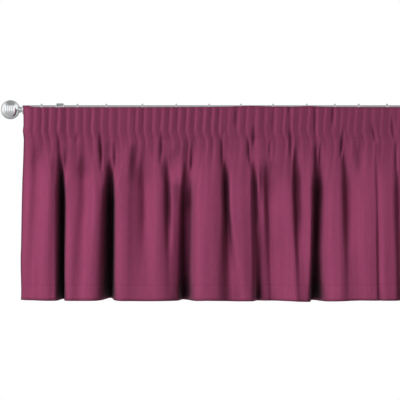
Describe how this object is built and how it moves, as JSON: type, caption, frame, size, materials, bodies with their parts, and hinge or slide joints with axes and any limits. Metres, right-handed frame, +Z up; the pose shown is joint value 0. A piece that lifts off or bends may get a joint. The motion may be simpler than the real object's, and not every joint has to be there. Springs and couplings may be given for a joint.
{
  "type": "window valance on a curtain pole",
  "caption": "Gathered cloth window valance with a pencil-pleated heading, hung by rings and hooks from a round curtain pole with ball finials and wall brackets.",
  "frame": {"origin": "the middle of the left wall plate's back face, which is in the plane of the wall", "axes": "+X along the pole to the right as seen from the room, +Y into the wall, +Z up"},
  "size_m": [1.403, 0.1167, 0.4172],
  "materials": {
    "plum_cloth": "plain plum weave, matt",
    "white_tape": "woven off-white pleating tape, matt",
    "chrome": "bright polished chrome plate",
    "hook_metal": "plain zinc-plated wire"
  },
  "bodies": {
    "root": {"valance_cloth": "plum_cloth", "heading_tape": "white_tape", "pole": "chrome", "finial_left": "chrome", "bracket_left": "chrome", "wall_plate_left": "chrome", "finial_right": "chrome", "bracket_right": "chrome", "wall_plate_right": "chrome", "ring_01": "chrome", "ring_02": "chrome", "ring_03": "chrome", "ring_04": "chrome", "ring_05": "chrome", "ring_06": "chrome", "ring_07": "chrome", "ring_08": "chrome", "ring_09": "chrome", "ring_10": "chrome", "ring_11": "chrome", "ring_12": "chrome", "ring_13": "chrome", "ring_14": "chrome", "ring_15": "chrome", "ring_16": "chrome", "ring_17": "chrome", "ring_18": "chrome", "ring_19": "chrome", "hook_01": "hook_metal", "hook_02": "hook_metal", "hook_03": "hook_metal", "hook_04": "hook_metal", "hook_05": "hook_metal", "hook_06": "hook_metal", "hook_07": "hook_metal", "hook_08": "hook_metal", "hook_09": "hook_metal", "hook_10": "hook_metal", "hook_11": "hook_metal", "hook_12": "hook_metal", "hook_13": "hook_metal", "hook_14": "hook_metal", "hook_15": "hook_metal", "hook_16": "hook_metal", "hook_17": "hook_metal", "hook_18": "hook_metal", "hook_19": "hook_metal"}
  },
  "joints": []
}
